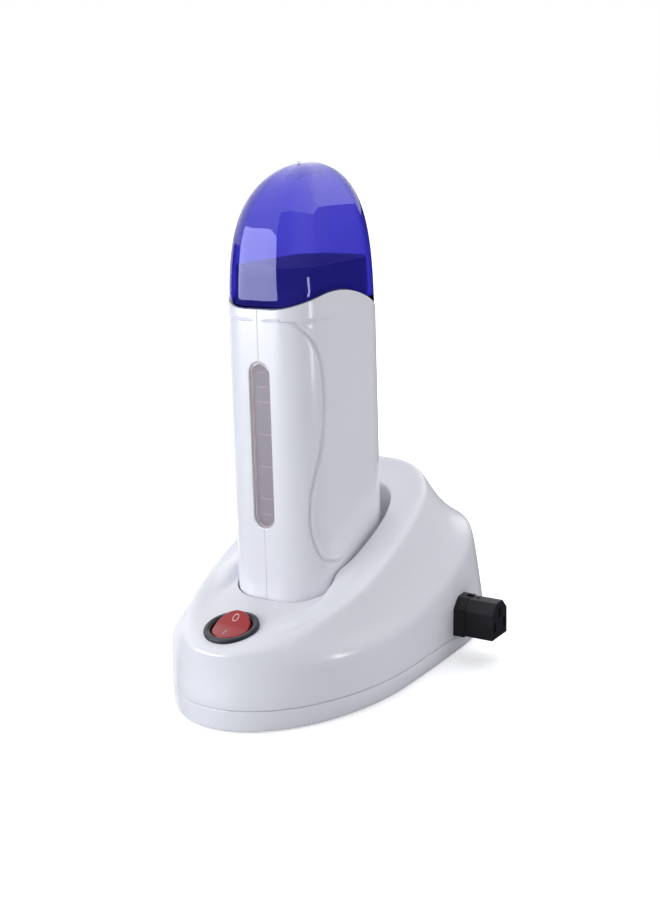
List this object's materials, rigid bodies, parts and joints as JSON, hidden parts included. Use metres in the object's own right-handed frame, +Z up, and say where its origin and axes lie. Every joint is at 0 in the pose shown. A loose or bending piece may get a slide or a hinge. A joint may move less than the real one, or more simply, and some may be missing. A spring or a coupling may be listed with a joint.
{
  "type": "roll-on wax heater",
  "caption": "Upright hand-held wax cartridge heater with an arched transparent cap and level window, docked in a wedge-shaped base with a round rocker switch and a side link connector",
  "frame": {"origin": "On the table plane under the rubber feet, on the hand unit's own upright axis.", "axes": "+Z up, along the hand unit; -Y towards the nose with the switch, +Y towards the tall back of the base; +X the side with the link outlet, -X the side with the inlet socket."},
  "size_m": [0.1224, 0.1658, 0.2204],
  "materials": {
    "shell_white": "glossy moulded",
    "foot_rubber": "matt",
    "screw_steel": "zinc plated",
    "switch_black": "satin moulded",
    "contact_brass": "plain",
    "lamp_glass": "clear bulb",
    "rocker_red": "translucent red, lit from below",
    "connector_black": "fine texture",
    "wire_brown": "insulation",
    "wire_blue": "insulation",
    "wire_green": "insulation",
    "window_clear": "clear, polished",
    "sleeve_aluminium": "drawn",
    "heat_plastic": "heat resisting",
    "heater_ceramic": "plain ceramic",
    "film_amber": "film",
    "clip_steel": "spring temper",
    "cutout_black": "moulded",
    "fuse_metal": "tinned can",
    "wire_silicone": "silicone insulation",
    "cap_blue": "transparent, polished"
  },
  "bodies": {
    "base": {"base_upper_shell": "shell_white", "base_lower_pan": "shell_white", "rubber_feet": "foot_rubber", "base_screws": "screw_steel", "switch_housing": "switch_black", "switch_terminals": "contact_brass", "switch_lamp": "lamp_glass", "link_outlet": "connector_black", "link_contacts": "contact_brass", "mains_inlet": "connector_black", "inlet_pins": "contact_brass", "dock_connector": "connector_black", "dock_contacts": "contact_brass", "dock_screws": "screw_steel", "base_wires_live": "wire_brown", "base_wires_neutral": "wire_blue", "base_wire_earth": "wire_green"},
    "handle": {"handle_shell_left": "shell_white", "handle_shell_right": "shell_white", "handle_screws": "screw_steel", "window_lens": "window_clear", "heater_sleeve": "sleeve_aluminium", "chamber_floor": "heat_plastic", "cartridge_collar": "heat_plastic", "ptc_heater": "heater_ceramic", "insulating_film": "film_amber", "heater_clip": "clip_steel", "thermal_cutout": "cutout_black", "thermal_fuse": "fuse_metal", "handle_inlet": "connector_black", "handle_inlet_pins": "contact_brass", "handle_wires": "wire_silicone"},
    "cap": {"transparent_cap": "cap_blue"},
    "rocker": {"switch_rocker": "rocker_red"}
  },
  "joints": [
    {"name": "handle_lift", "type": "slide", "parent": "base", "child": "handle", "axis": [0, 0, 1], "range_m": [0, 0.08]},
    {"name": "cap_lift", "type": "slide", "parent": "handle", "child": "cap", "axis": [0, 0, 1], "range_m": [0, 0.06]},
    {"name": "rocker_tilt", "type": "hinge", "parent": "base", "child": "rocker", "pos_m": [0, -0.0594, 0.03672], "axis": [-1, 0, 0], "range_deg": [0, 20]}
  ]
}
